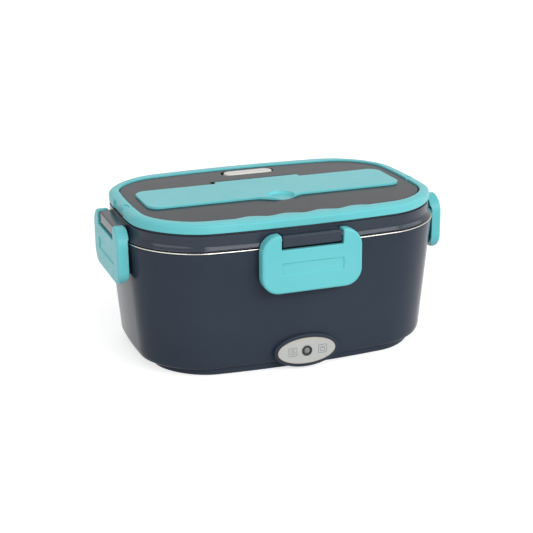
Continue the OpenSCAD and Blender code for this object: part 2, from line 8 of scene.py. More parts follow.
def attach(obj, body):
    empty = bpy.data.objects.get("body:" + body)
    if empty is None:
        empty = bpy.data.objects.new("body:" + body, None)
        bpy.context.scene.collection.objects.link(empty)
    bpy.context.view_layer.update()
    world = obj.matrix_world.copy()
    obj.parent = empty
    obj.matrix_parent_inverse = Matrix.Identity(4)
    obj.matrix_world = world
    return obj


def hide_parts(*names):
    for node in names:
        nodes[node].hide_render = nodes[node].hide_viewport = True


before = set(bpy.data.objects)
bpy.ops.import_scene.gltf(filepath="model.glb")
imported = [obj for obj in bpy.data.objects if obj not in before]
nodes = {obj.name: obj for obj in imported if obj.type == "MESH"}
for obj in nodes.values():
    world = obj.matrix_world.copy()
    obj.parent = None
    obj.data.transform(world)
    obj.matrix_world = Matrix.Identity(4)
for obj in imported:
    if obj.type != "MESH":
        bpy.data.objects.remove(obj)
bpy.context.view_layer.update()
mm = 0.001
print("frame:", len(nodes), "nodes")

# solved from the picture's outlines; clip is in metres
camera = {"place": (-297.0, -826.5, 339.8), "ahead": (0.3191, 0.8946, -0.3127),
          "up": (0.1151, 0.2910, 0.9498), "lens": 86.70, "sensor": 36, "clip": (0.02, 60)}


def aimCamera():
    data = bpy.data.cameras.new("camera")
    data.lens = camera["lens"]
    data.sensor_width = camera["sensor"]
    data.clip_start, data.clip_end = camera["clip"]
    eye = bpy.data.objects.new("camera", data)
    back = -Vector(camera["ahead"]).normalized()
    side = Vector(camera["up"]).cross(back).normalized()
    turn = Matrix((side, back.cross(side), back)).transposed().to_4x4()
    eye.matrix_world = Matrix.Translation(Vector(camera["place"]) * mm) @ turn
    bpy.context.collection.objects.link(eye)
    bpy.context.scene.camera = eye


aimCamera()

# the plan of the box: both long sides bow out, the short ones in step
wide = {"bow": 7.5, "perHeight": 7.5 / 112}


def arc(cx, cy, r, start, end, steps):
    turns = [math.radians(start + (end - start) * i / steps) for i in range(steps + 1)]
    return [(cx + r * math.cos(t), cy + r * math.sin(t)) for t in turns]


def between(p, q, steps):   # points after p and before q
    return [tuple(a + (b - a) * i / steps for a, b in zip(p, q)) for i in range(1, steps)]


def bowOut(p, a0, b0, bx):
    x, y = p
    return (x + math.copysign(1, x) * bx * (1 - (y / b0) ** 2) * abs(x) / a0,
            y + math.copysign(1, y) * wide["bow"] * (1 - (x / a0) ** 2) * abs(y) / b0)


def planOutline(a, b, r, corner=18, along=40, across=22):
    bx = wide["perHeight"] * b
    a0, b0 = a - bx, b - wide["bow"]
    u, v = a0 - r, b0 - r
    line = (arc(u, v, r, 0, 90, corner) + between((u, b0), (-u, b0), along)
            + arc(-u, v, r, 90, 180, corner) + between((-a0, v), (-a0, -v), across)
            + arc(-u, -v, r, 180, 270, corner) + between((-u, -b0), (u, -b0), along)
            + arc(u, -v, r, 270, 360, corner) + between((a0, -v), (a0, v), across))
    return [bowOut(p, a0, b0, bx) for p in line]


def roundRect(a, b, r, steps=8, cx=0.0, cy=0.0):
    u, v = a - r, b - r
    return [(x + cx, y + cy) for x, y in
            arc(u, v, r, 0, 90, steps) + arc(-u, v, r, 90, 180, steps)
            + arc(-u, -v, r, 180, 270, steps) + arc(u, -v, r, 270, 360, steps)]


def oval(a, b, steps=96):
    return [(a * math.cos(math.tau * i / steps), b * math.sin(math.tau * i / steps))
            for i in range(steps)]


def inset(line, m, tiny=1e-6, sharpest=0.5):   # moves a closed outline in by m, mitred
    moved = []
    for i, p in enumerate(line):
        before, after = line[i - 1], line[(i + 1) % len(line)]
        e1, e2 = Vector(p) - Vector(before), Vector(after) - Vector(p)
        if e1.length < tiny:
            e1 = e2
        if e2.length < tiny:
            e2 = e1
        n1 = Vector((-e1.y, e1.x)).normalized()
        n2 = Vector((-e2.y, e2.x)).normalized()
        n = (n1 + n2).normalized()
        moved.append(tuple(Vector(p) + n * m / max(sharpest, n.dot(n1))))
    return moved


def mix(p, q, t):
    return tuple(a + (b - a) * t for a, b in zip(p, q))


def curveThrough(points, steps):   # Catmull-Rom
    line = []
    last = len(points) - 1
    for i in range(last):
        p0, p1, p2, p3 = (points[max(i - 1, 0)], points[i], points[i + 1],
                          points[min(i + 2, last)])
        for k in range(steps):
            t = k / steps
            line.append(tuple(0.5 * (2 * b + (c - a) * t + (2 * a - 5 * b + 4 * c - d) * t ** 2
                                     + (3 * b - a - 3 * c + d) * t ** 3)
                              for a, b, c, d in zip(p0, p1, p2, p3)))
    return line + [tuple(points[-1])]


def soften(points, cuts, steps=5, loop=False, most=0.49):   # rounds each corner back by its cut
    line = []
    for i, (p, cut) in enumerate(zip(points, cuts)):
        end = not loop and i in (0, len(points) - 1)
        if not cut or end:
            line.append(tuple(p))
            continue
        before, after = points[i - 1], points[(i + 1) % len(points)]
        a = mix(p, before, min(most, cut / math.dist(p[-3:], before[-3:])))
        c = mix(p, after, min(most, cut / math.dist(p[-3:], after[-3:])))
        line += [mix(mix(a, p, k / steps), mix(p, c, k / steps), k / steps)
                 for k in range(steps + 1)]
    return line


# stacks of rings: each is a list of closed outlines that skin joins up

def planRings(sections):   # section: half length, half width, corner radius, height
    return [[(x, y, z) for x, y in planOutline(a, b, r)] for a, b, r, z in sections]


def levelRings(line, levels, x0=0, y0=0):   # an outline in plan, level: inset and height
    return [[(x + x0, y + y0, z) for x, y in inset(line, m)] for m, z in levels]


def column(line, span, x0=0, y0=0):   # an outline in plan, straight up
    return [[(x + x0, y + y0, z) for x, y in line] for z in span]


def turned(profile, x0, y0, z0=0, steps=40):   # profile: radius and height, about an upright line
    return [[(x + x0, y + y0, z + z0) for x, y in oval(r, r, steps)] for r, z in profile]


def uprightRings(line, levels, z0):   # an outline in x and z, level: inset and y
    return [[(x, y, z + z0) for x, z in inset(line, m)] for m, y in levels]


def rod(r, x0, x1, y, z, steps, edge=0.2):   # along x
    return [[(x, y + s * math.cos(t), z + s * math.sin(t))
             for t in [math.tau * i / steps for i in range(steps)]]
            for x, s in ((x0, r - edge), (x0 + edge, r), (x1 - edge, r), (x1, r - edge))]


def lathe(profile, z0, steps=48):   # profile: radius and y, turned about y
    return [[(r * math.cos(t), y, z0 + r * math.sin(t))
             for t in [math.tau * i / steps for i in range(steps)]] for r, y in profile]


def corners(x, y):
    return [(i * x, j * y) for i in (-1, 1) for j in (-1, 1)]


def skin(bm, rings, loop=False):
    rows = [[bm.verts.new(Vector(p) * mm) for p in ring] for ring in rings]
    count = len(rows[0])
    pairs = list(zip(rows, rows[1:])) + ([(rows[-1], rows[0])] if loop else [])
    for low, high in pairs:
        for i in range(count):
            j = (i + 1) % count
            bm.faces.new((low[i], low[j], high[j], high[i]))
    if not loop:
        bm.faces.new(rows[0][::-1])
        bm.faces.new(rows[-1])


def bar(bm, profile, half, edge, move=None):   # side profile in y and z, run along x
    part = bmesh.new()
    ends = [[part.verts.new(Vector((x, y, z)) * mm) for y, z in profile] for x in (-half, half)]
    part.faces.new(ends[0][::-1])
    part.faces.new(ends[1])
    for i in range(len(profile)):
        j = (i + 1) % len(profile)
        part.faces.new((ends[0][i], ends[0][j], ends[1][j], ends[1][i]))
    bmesh.ops.recalc_face_normals(part, faces=part.faces)
    bmesh.ops.bevel(part, geom=part.edges[:], offset=edge * mm, segments=3, profile=0.5,
                    affect="EDGES")
    if move is not None:
        bmesh.ops.transform(part, matrix=move, verts=part.verts)
    mesh = bpy.data.meshes.new("part")
    part.to_mesh(mesh)
    part.free()
    bm.from_mesh(mesh)
    bpy.data.meshes.remove(mesh)


def box(bm, lo, hi, edge):
    shift = Matrix.Translation(Vector(((lo[0] + hi[0]) / 2, 0, 0)) * mm)
    bar(bm, [(lo[1], lo[2]), (hi[1], lo[2]), (hi[1], hi[2]), (lo[1], hi[2])],
        (hi[0] - lo[0]) / 2, edge, shift)


def piece(name, bm):
    bmesh.ops.recalc_face_normals(bm, faces=bm.faces)
    mesh = bpy.data.meshes.new(name)
    bm.to_mesh(mesh)
    bm.free()
    made = bpy.data.objects.new(name, mesh)
    bpy.context.collection.objects.link(made)
    return made


def skinned(name, *stacks, loop=False):
    bm = bmesh.new()
    for rings in stacks:
        skin(bm, rings, loop)
    return piece(name, bm)


def boxed(name, lo, hi, edge):
    bm = bmesh.new()
    box(bm, lo, hi, edge)
    return piece(name, bm)


def settle(made):   # keeps what the modifiers give as the piece's own mesh
    bpy.context.view_layer.update()
    graph = bpy.context.evaluated_depsgraph_get()
    mesh = bpy.data.meshes.new_from_object(made.evaluated_get(graph))
    made.modifiers.clear()
    made.data = mesh


def combine(made, how, *tools):
    for tool in tools:
        step = made.modifiers.new(how, "BOOLEAN")
        step.operation = how
        step.object = tool
        step.solver = "EXACT"
    settle(made)
    for tool in tools:
        bpy.data.objects.remove(tool)


def breakEdges(made, width, angle, steps):   # a small round on every sharp edge
    edge = made.modifiers.new("edge", "BEVEL")
    edge.width = width * mm
    edge.segments = steps
    edge.limit_method = "ANGLE"
    edge.angle_limit = math.radians(angle)
    edge.use_clamp_overlap = True
    edge.miter_outer = "MITER_ARC"
    settle(made)


def smooth(made, angle=32):
    made.data.shade_smooth()
    made.data.set_sharp_from_angle(angle=math.radians(angle))
    even = made.modifiers.new("even", "WEIGHTED_NORMAL")
    even.keep_sharp = True
    even.weight = 80


def dress(made, finish, body, slot, *stands):
    made.data.materials.clear()
    made.data.materials.append(finish)
    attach(made, body)
    if stands:
        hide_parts(*stands)


# where each latch sits: which side, turn about z and distance of its face
sides = {"front": ("long", 0, 85.3), "back": ("long", 180, 85.3),
         "left": ("short", -90, 118.8), "right": ("short", 90, 118.8)}


def sidePlace(side):   # latch frame: x along it, y inwards from its face
    turn, reach = sides[side][1:]
    return (Matrix.Rotation(math.radians(turn), 4, "Z")
            @ Matrix.Translation(Vector((0, -reach, 0)) * mm))


def linear(code):   # sRGB hex to linear
    parts = [int(code[i:i + 2], 16) / 255 for i in (1, 3, 5)]
    return tuple(c / 12.92 if c <= 0.04045 else ((c + 0.055) / 1.055) ** 2.4
                 for c in parts) + (1.0,)


def perMm(size):   # texture scale for a pattern of that many millimetres
    return 1 / (size * mm)


def addNode(tree, kind, settings=None, links=None):
    node = tree.nodes.new(kind)
    for key, value in (settings or {}).items():
        if key == "stops":   # where each colour of a ramp sits
            for stop, (where, colour) in zip(node.color_ramp.elements, value):
                stop.position = where
                stop.color = colour
        elif isinstance(key, int) or key in node.inputs:
            node.inputs[key].default_value = value
        else:
            setattr(node, key, value)
    for key, source in (links or {}).items():
        tree.links.new(source, node.inputs[key])
    return node


def newMaterial(name, shader):
    made = bpy.data.materials.new(name)
    made.use_nodes = True
    surface = made.node_tree.nodes["Principled BSDF"]
    for key, value in shader.items():
        surface.inputs[key].default_value = value
    return made, made.node_tree, surface


def spread(tree, surface, look, colour, rough):   # patterns run between the look's two ends
    jobs = (("Base Color", colour, [linear(look[end]) for end in ("dark", "light")]),
            ("Roughness", rough, [(value, value, value, 1) for value in look["rough"]]))
    for socket, (source, span), ends in jobs:
        band = addNode(tree, "ShaderNodeValToRGB", {"stops": zip(span, ends)}, {"Fac": source})
        tree.links.new(band.outputs["Color"], surface.inputs[socket])


# injection moulded polypropylene: a glossy skin over cloudy colour, with a faint orange peel,
# and a roughness that varies where hands rub; its grain is drawn coarser than it is, to show
def mouldedPolypropylene(name, look):
    made, tree, surface = newMaterial(name, {"IOR": 1.49, "Specular IOR Level": look["level"]})
    place = {"Vector": addNode(tree, "ShaderNodeTexCoord").outputs["Object"]}
    cloud, rub, peel, fine = [
        addNode(tree, "ShaderNodeTexNoise",
                {"Scale": perMm(look[size]), "Detail": detail, "Roughness": rough},
                place).outputs["Fac"]
        for size, detail, rough in (("cloud", 3.0, 0.5), ("rub", 4.0, 0.6), ("peel", 1.0, 0.5),
                                    ("grain", 2.0, 0.5))]
    spread(tree, surface, look, (cloud, (0.3, 0.7)), (rub, (0.3, 0.75)))
    base = addNode(tree, "ShaderNodeBump",
                   {"Strength": look["peelDepth"], "Distance": look["peelRelief"] * mm},
                   {"Height": peel})
    bump = addNode(tree, "ShaderNodeBump",
                   {"Strength": look["grainDepth"], "Distance": look["grainRelief"] * mm},
                   {"Height": fine, "Normal": base.outputs["Normal"]})
    tree.links.new(bump.outputs["Normal"], surface.inputs["Normal"])
    return made


mouldSkin = {"peel": 5.0, "peelDepth": 0.015, "peelRelief": 0.3,
             "grain": 0.5, "grainDepth": 0.03, "grainRelief": 0.03}
slateLook = {**mouldSkin, "dark": "#333c49", "light": "#38414e", "cloud": 60, "rub": 14,
             "rough": (0.10, 0.16), "level": 0.09}
lidSlateLook = {**slateLook, "dark": "#2f3845", "light": "#343d4a", "rough": (0.14, 0.2),
                "level": 0.26}
greyLook = {**mouldSkin, "dark": "#20232b", "light": "#24272f", "cloud": 50, "rub": 12,
            "rough": (0.16, 0.24), "level": 0.09}
turquoiseLook = {**mouldSkin, "dark": "#6bccd2", "light": "#71d0d6", "cloud": 45, "rub": 10,
                 "rough": (0.30, 0.40), "level": 0.25}
slate = mouldedPolypropylene("slatePolypropylene", slateLook)
glossSlate = mouldedPolypropylene("glossSlatePolypropylene", lidSlateLook)
greyPolypropylene = mouldedPolypropylene("greyPolypropylene", greyLook)
turquoise = mouldedPolypropylene("turquoisePolypropylene", turquoiseLook)


# one pattern carries colour, roughness and relief; it is drawn coarser than it is, to show
def grained(name, shader, look):
    made, tree, surface = newMaterial(name, shader)
    place = addNode(tree, "ShaderNodeTexCoord").outputs["Object"]
    if "stretch" in look:
        place = addNode(tree, "ShaderNodeMapping", {"Scale": look["stretch"]},
                        {"Vector": place}).outputs["Vector"]
    grain = addNode(tree, "ShaderNodeTexNoise", {"Scale": perMm(look["grain"]), "Detail": 3.0},
                    {"Vector": place}).outputs["Fac"]
    spread(tree, surface, look, (grain, (0.35, 0.65)), (grain, (0.3, 0.7)))
    bump = addNode(tree, "ShaderNodeBump",
                   {"Strength": look["depth"], "Distance": look["relief"] * mm},
                   {"Height": grain})
    tree.links.new(bump.outputs["Normal"], surface.inputs["Normal"])
    return made


metal = {"Metallic": 1.0}
hard = {"IOR": 1.5}

# deep drawn stainless sheet: a soft sheen with draw lines that run up the walls
stainless = grained("drawnStainless", metal, {
    "dark": "#c6c4be", "light": "#cfcdc6", "grain": 0.5, "stretch": (1, 1, 0.03),
    "rough": (0.25, 0.31), "depth": 0.04, "relief": 0.05})
# zinc plated steel: a bluish bright metal, a little mottled
zincSteel = grained("zincPlatedSteel", metal, {
    "dark": "#a9adb2", "light": "#c3c7cb", "grain": 0.5, "rough": (0.28, 0.42),
    "depth": 0.1, "relief": 0.05})
# pressed aluminium sheet: pale, with rolling lines along it
aluminium = grained("pressedAluminium", metal, {
    "dark": "#b4b6b9", "light": "#cfd1d3", "grain": 0.6, "stretch": (0.06, 1, 1),
    "rough": (0.3, 0.45), "depth": 0.2, "relief": 0.05})
# drawn brass: yellow, with lines along the pin
brass = grained("drawnBrass", metal, {
    "dark": "#b18d46", "light": "#cfae62", "grain": 0.4, "stretch": (1, 0.1, 1),
    "rough": (0.22, 0.34), "depth": 0.1, "relief": 0.05})
# moulded ABS: black with a satin gloss
blackAbs = grained("blackAbs", hard, {
    "dark": "#131415", "light": "#1a1b1d", "grain": 0.5, "rough": (0.3, 0.42),
    "depth": 0.15, "relief": 0.1})
# moulded rubber: black and matt
rubber = grained("blackRubber", hard, {
    "dark": "#151515", "light": "#1e1e1e", "grain": 0.4, "rough": (0.6, 0.75),
    "depth": 0.4, "relief": 0.1})
# moulded silicone: milky and satin
silicone = grained("whiteSilicone", {"IOR": 1.42}, {
    "dark": "#e4e2dc", "light": "#eceae5", "grain": 0.6, "rough": (0.42, 0.55),
    "depth": 0.15, "relief": 0.1})
# printed silver ink: grey with a weak metal sheen
silverInk = grained("silverInkPrint", {**hard, "Metallic": 0.25}, {
    "dark": "#b9bab7", "light": "#c0c1be", "grain": 0.5, "rough": (0.35, 0.45),
    "depth": 0.1, "relief": 0.1})
# the plate's pale printed border
rimInk = grained("paleRimPrint", hard, {
    "dark": "#c0baae", "light": "#c6c0b5", "grain": 0.5, "rough": (0.3, 0.4),
    "depth": 0.1, "relief": 0.1})
# the pictograms' flat dark print
darkInk = grained("greyInkPrint", hard, {
    "dark": "#6f7375", "light": "#7a7e80", "grain": 0.5, "rough": (0.45, 0.55),
    "depth": 0.1, "relief": 0.1})
# smoked polycarbonate: the lamp's lens, unlit and frosted
smoked = grained("smokedPolycarbonate", {"IOR": 1.58}, {
    "dark": "#6c7072", "light": "#8e9193", "grain": 0.45, "rough": (0.12, 0.3),
    "depth": 0.5, "relief": 0.1})
# solder resist: glossy green lacquer
board = grained("solderResist", hard, {
    "dark": "#14502e", "light": "#1b6138", "grain": 1.5, "rough": (0.25, 0.4),
    "depth": 0.1, "relief": 0.1})
# glazed ceramic: off-white and smooth
ceramic = grained("glazedCeramic", hard, {
    "dark": "#d5d0c4", "light": "#dfdbd0", "grain": 2.0, "rough": (0.2, 0.3),
    "depth": 0.05, "relief": 0.1})
# silicone sleeving: red and satin
sleeve = grained("siliconeSleeving", hard, {
    "dark": "#a91f1a", "light": "#b8281f", "grain": 0.6, "rough": (0.4, 0.5),
    "depth": 0.1, "relief": 0.1})
print("materials ready")

caseLook = {
    "foot": [(102.2, 67.7, 35, 5.5), (103.4, 68.5, 35.7, 6.0), (104.2, 69.1, 36.2, 6.9),
             (104.9, 69.6, 36.6, 9.5), (105.2, 69.9, 36.8, 13.5)],
    "top": (111.4, 76.9, 42, 88.5), "rows": (0.02, 0.1, 0.3, 0.5, 0.7, 0.9),
    "mouth": [(109.4, 74.9, 40, 88.5), (103.2, 67.9, 34.8, 13.5)], "mouthRoll": (0, 0.5, 0.4, 0),
    "inside": [(102.4, 67.2, 34.2, 9.6), (101.0, 66.4, 33.4, 8.2), (95.6, 65.0, 30.6, 7.6),
               (95.6, 65.0, 30.6, 5.5)],
    "boss": (23.3, 11.7), "bossZ": 13.3, "bossRoll": (0, 0.9, 0, 0),
    "bossEdge": [(0, -66.0), (0, -73.5), (2.3, -73.5), (2.3, -73.0)],   # let in for the plate
    "ribHalf": 28, "ribEdge": 0.35, "rib": (6.2, 67.2, 69.6, 73),   # what the hooks catch
    "ribRoot": {"long": 11.2, "short": 10.4},
    "socketZ": 15, "surround": (18, 9, 4, 10), "surroundEdge": [(0, 66.0), (0, 72.0), (3, 72.0)],
    "opening": (12.6, 6.6, 2.6, 8), "openingRun": [(0, 60), (0, 74)],
}


def makeCase():
    k = caseLook
    rise = curveThrough(k["foot"], 4)
    wallLine = [mix(rise[-1], k["top"], t) for t in k["rows"]]
    rimLine = soften([rise[-1], k["top"]] + k["mouth"], k["mouthRoll"])[1:]
    shell = skinned("caseShell", planRings(rise + wallLine + rimLine + k["inside"]), loop=True)
    a, b = k["boss"]
    bm = bmesh.new()
    skin(bm, [[(x, y, z + k["bossZ"]) for x, z in oval(a - m, b - m)]
              for m, y in soften(k["bossEdge"], k["bossRoll"], 6)])
    face, low, middle, high = k["rib"]
    for side in sides:
        root = k["ribRoot"][sides[side][0]]
        bar(bm, [(root, low), (face, low), (face, middle), (root, high)], k["ribHalf"],
            k["ribEdge"], sidePlace(side))
    surround = uprightRings(roundRect(*k["surround"]),
                            soften(k["surroundEdge"], (0, 0.9, 0), 5), k["socketZ"])
    combine(shell, "UNION", piece("boss", bm), skinned("surround", surround))
    combine(shell, "DIFFERENCE", skinned("opening", uprightRings(
        roundRect(*k["opening"]), k["openingRun"], k["socketZ"])))
    smooth(shell)
    dress(shell, slate, "base", "slate_plastic", "outer_shell")


makeCase()

plinthLook = {
    "outer": [(93.0, 63.2, 28.3, 0.5), (96.0, 66.2, 31.3, 0.5), (96.0, 66.2, 31.3, 5.4),
              (95.3, 64.7, 30.3, 5.4), (95.3, 64.7, 30.3, 7.3)],
    "outerRoll": (0, 1.0, 0.2, 0, 0),
    "inner": [(93.5, 62.9, 28.5, 7.3), (93.5, 62.9, 28.5, 2.7)],
    "screw": (80, 30), "postR": 5, "postRun": (2, 6),
    "foot": (72, 44), "footWell": ((7.2, -1), (7.2, 1.6)),
    "screwHole": ((3.6, -1), (3.6, 3.5), (1.7, 3.5), (1.7, 8)),
    "vent": (20, 1.2, 1.19, 8), "ventPitch": 8, "ventRun": (-1, 4), "vents": range(-2, 3),
}


def makeBaseCover():
    k = plinthLook
    plinth = skinned("basePlinth", planRings(soften(k["outer"], k["outerRoll"], 5) + k["inner"]))
    posts, cuts = [], []
    for screw, foot in zip(corners(*k["screw"]), corners(*k["foot"])):
        posts.append(column(oval(k["postR"], k["postR"], 40), k["postRun"], *screw))
        cuts += [turned(k["footWell"], *foot, steps=48), turned(k["screwHole"], *screw)]
    combine(plinth, "UNION", skinned("posts", *posts))
    cuts += [column(roundRect(*k["vent"]), k["ventRun"], 0, k["ventPitch"] * i)
             for i in k["vents"]]
    combine(plinth, "DIFFERENCE", skinned("plinthTools", *cuts))
    smooth(plinth)
    dress(plinth, slate, "base", "slate_plastic", "base_cover")


makeBaseCover()
print("case ready")

plateLook = {
    "size": (20.8, 9.2), "z": 13.3, "hole": 2.9, "border": 0.9,
    "edge": [(0, -73.0), (0, -73.62), (0.18, -73.8), (1.0, -73.8)],
    "print": -73.79, "proud": 0.06, "stroke": 0.34, "frame": (2.9, 2.9, 0.7, 5),
    "bowlX": -10.2, "bowl": [(-1.7, -0.2), (-1.5, -1.1), (-0.8, -1.7), (0.8, -1.7), (1.5, -1.1),
                             (1.7, -0.2)],
    "steamX": (-0.8, 0.0, 0.8), "steamWidth": 0.24, "steamSway": (0.18, 2.2),
    "steamRise": (0.5, 0.28),
    "boxX": 11.3, "box": (1.5, 1.1, 0.3, 3), "boxDrop": 0.5, "boxLid": (1.2, 1.4),
}


def makePlate():
    k = plateLook
    (a, b), z0 = k["size"], k["z"]
    outlines = [(oval(a - m, b - m), y) for m, y in k["edge"]]
    outlines.append((oval(k["hole"], k["hole"]), k["edge"][-1][1]))
    plate = skinned("lampPlate", [[(x, y, z + z0) for x, z in line] for line, y in outlines])
    smooth(plate)
    dress(plate, silverInk, "base", "silver_print", "indicator_plate")
    plate.data.materials.append(rimInk)
    for face in plate.data.polygons:   # the pale border
        x, y, z = face.center / mm
        if (x / (a - k["border"])) ** 2 + ((z - z0) / (b - k["border"])) ** 2 > 1:
            face.material_index = 1


def stroke(bm, line, width, closed=True):   # a printed line that stands a little proud
    y, proud = plateLook["print"], plateLook["proud"]
    count = len(line)
    rows = []
    for i, p in enumerate(line):
        before = line[i - 1] if closed or i else p
        after = line[(i + 1) % count] if closed or i < count - 1 else p
        along = (Vector(after) - Vector(before)).normalized()
        n = Vector((-along.y, along.x)) * width / 2
        lo, hi = Vector(p) - n, Vector(p) + n
        rows.append([bm.verts.new(Vector(q) * mm) for q in
                     ((lo.x, y, lo.y), (lo.x, y - proud, lo.y), (hi.x, y - proud, hi.y),
                      (hi.x, y, hi.y))])
    for i in range(count if closed else count - 1):
        low, high = rows[i], rows[(i + 1) % count]
        for m in range(4):
            n = (m + 1) % 4
            bm.faces.new((low[m], low[n], high[n], high[m]))
    if not closed:
        bm.faces.new(rows[0])
        bm.faces.new(rows[-1][::-1])


def makePictograms():
    k = plateLook
    z0, width, bowl, case = k["z"], k["stroke"], k["bowlX"], k["boxX"]
    bm = bmesh.new()
    for x in (bowl, case):
        stroke(bm, roundRect(*k["frame"], x, z0), width)
    stroke(bm, [(bowl + x, z0 + z) for x, z in k["bowl"]], width)
    sway, bend = k["steamSway"]
    start, rise = k["steamRise"]
    for shift in k["steamX"]:
        stroke(bm, [(bowl + shift + sway * math.sin(bend * i), z0 + start + rise * i)
                    for i in range(6)], k["steamWidth"], closed=False)
    stroke(bm, roundRect(*k["box"], case, z0 - k["boxDrop"]), width)
    half, up = k["boxLid"]
    stroke(bm, [(case - half, z0 + up), (case + half, z0 + up)], width, closed=False)
    dress(piece("pictograms", bm), darkInk, "base", "silver_print")


lampLook = {   # radius and y
    "ring": [(2.25, -66), (2.8, -66), (2.8, -73.82), (3.65, -73.82), (3.65, -74.5),
             (2.25, -74.5), (2.25, -66.1)],
    "ringRoll": (0, 0, 0, 0, 0.35, 0.3, 0),
    "lens": [(1.9, -68), (2.2, -68.3), (2.2, -73.85), (2.05, -74.05), (1.6, -74.25),
             (1.0, -74.4), (0.4, -74.45)],
}


def makeLamp():
    z0 = plateLook["z"]
    bezel = skinned("lampRing", lathe(soften(lampLook["ring"], lampLook["ringRoll"], 4), z0))
    smooth(bezel)
    dress(bezel, blackAbs, "base", "black_plastic", "lamp_bezel")
    lens = skinned("lampLens", lathe(lampLook["lens"], z0))
    smooth(lens)
    dress(lens, smoked, "base", "lens", "lamp_lens")


makePlate()
makePictograms()
makeLamp()
print("lamp ready")

potLook = {   # 0.8 mm sheet with a rolled bead at the rim
    "foot": (90, 55.5, 22, 30.3),
    "heel": [(92, 57.5, 24, 30.3), (97, 62.5, 29, 31.2), (100.6, 66.0, 32.4, 34.5),
             (101.5, 66.9, 33.2, 40)],
    "neck": (106.9, 72.2, 37.7, 88.6),
    "bead": [(107.3, 72.6, 38.0, 89.4), (110.8, 76.2, 41.2, 89.4), (111.6, 77.0, 42.0, 89.4),
             (112.0, 77.4, 42.4, 89.6), (112.1, 77.5, 42.5, 89.9), (112.0, 77.4, 42.4, 90.2),
             (111.6, 77.0, 42.0, 90.4), (110.8, 76.2, 41.2, 90.4)],
    "mouth": [(110.0, 75.4, 40.4, 90.4), (106.5, 71.8, 37.2, 90.4), (100.7, 66.1, 32.4, 40)],
    "mouthRoll": (0, 0.7, 0),
    "bowl": [(100.7, 66.1, 32.4, 40), (99.8, 65.2, 31.6, 34.9), (96.2, 61.7, 28.2, 32.0),
             (91.8, 57.3, 23.8, 31.1), (89.8, 55.3, 21.8, 31.1)],
}


def makePot():
    k = potLook
    outer = [k["foot"]] + curveThrough(k["heel"], 5) + [k["neck"]]
    inside = soften(k["mouth"], k["mouthRoll"], 5) + curveThrough(k["bowl"], 5)[1:]
    pot = skinned("steelPot", planRings(outer + k["bead"] + inside))
    smooth(pot)
    dress(pot, stainless, "pot", "stainless", "steel_pot")


linerLook = {
    "foot": (92, 57.5, 24, 26.4),
    "heel": [(94, 59.5, 26, 26.4), (99, 64.5, 31, 27.6), (102.6, 68.0, 34.2, 31),
             (103.9, 69.3, 35.3, 38)],
    "brim": [(109.1, 74.5, 39.6, 88.55), (111.1, 76.5, 41.6, 88.55), (111.1, 76.5, 41.6, 89.3),
             (107.9, 73.3, 38.4, 89.3)],
    "bowl": [(102.7, 68.1, 34.1, 38), (101.3, 66.8, 33, 32), (98, 63.5, 30, 29.2),
             (93, 58.5, 25, 28.2), (91.5, 57, 23.5, 28.2)],
    "postR": 3.6, "postRun": (6.1, 27.4), "window": (75, 42, 18, 12), "windowRun": (20, 40),
}


def makeLiner():
    k = linerLook
    outer = [k["foot"]] + curveThrough(k["heel"], 4)
    liner = skinned("innerLiner", planRings(outer + k["brim"] + curveThrough(k["bowl"], 4)))
    post = oval(k["postR"], k["postR"], 32)
    combine(liner, "UNION", skinned("posts", *[column(post, k["postRun"], x, y)
                                               for x, y in corners(*plinthLook["screw"])]))
    combine(liner, "DIFFERENCE",   # the heating plate shows through it
            skinned("window", column(roundRect(*k["window"]), k["windowRun"])))
    smooth(liner)
    dress(liner, slate, "base", "slate_plastic", "inner_liner")


makePot()
makeLiner()
print("pot ready")

lidLook = {
    "inside": [(106.6, 73.5, 38.8, 100), (107.0, 73.9, 39.2, 99.6), (107.0, 73.9, 39.2, 95.2),
               (107.3, 74.1, 39.3, 94.7), (110.0, 75.6, 40.5, 92.6), (110.0, 75.6, 40.5, 90.8)],
    "lip": [(110.0, 75.6, 40.5, 90.8), (111.3, 76.7, 41.7, 90.8), (111.6, 77.0, 42.0, 91.2),
            (111.4, 76.9, 42.0, 91.7)], "lipRoll": (0, 0.3, 0.25, 0),
    "flare": [(111.4, 76.9, 42.0, 91.7), (110.6, 76.44, 41.8, 92.85), (109.95, 76.02, 41.6, 94.0),
              (109.4, 75.83, 41.4, 95.3), (109.1, 75.75, 41.25, 97.4)],
    "top": [(109.1, 75.75, 41.25, 97.4), (109.0, 75.7, 41.2, 101.0), (107.5, 74.2, 39.7, 101.0),
            (107.3, 74.0, 39.5, 101.9)], "topRoll": (0, 0.3, 0, 0),
    "blockHalf": 20.6, "blockEdge": 0.4, "blockFoot": [(1.2, 91.9), (1.9, 91.2)],
    "blockHead": [(2.0, 99.1), (1.2, 98.4)], "blockRun": (91.2, 93.2, 95.2, 99.5),
    "blockBack": {"long": (9.4, 10.6), "short": (8.5, 10.8)},
    "bay": (90.6, 21.2, 4, 8), "roof": (99, 103),
}
plugLook = {
    "place": (2.7, 53.2), "hole": 3.25, "head": (18.6, 5.6, 5.59, 16),
    "levels": [(0.3, 104.7), (0, 105.0), (0, 108.6), (3.0, 108.6)], "roll": (0, 0, 1.0, 0),
    "stem": ((2.2, 92.2), (2.9, 92.5), (3, 93), (3, 105.5)),
}


def stemHole(*span):
    r = plugLook["hole"]
    return skinned("stemHole", column(oval(r, r, 40), span, *plugLook["place"]))


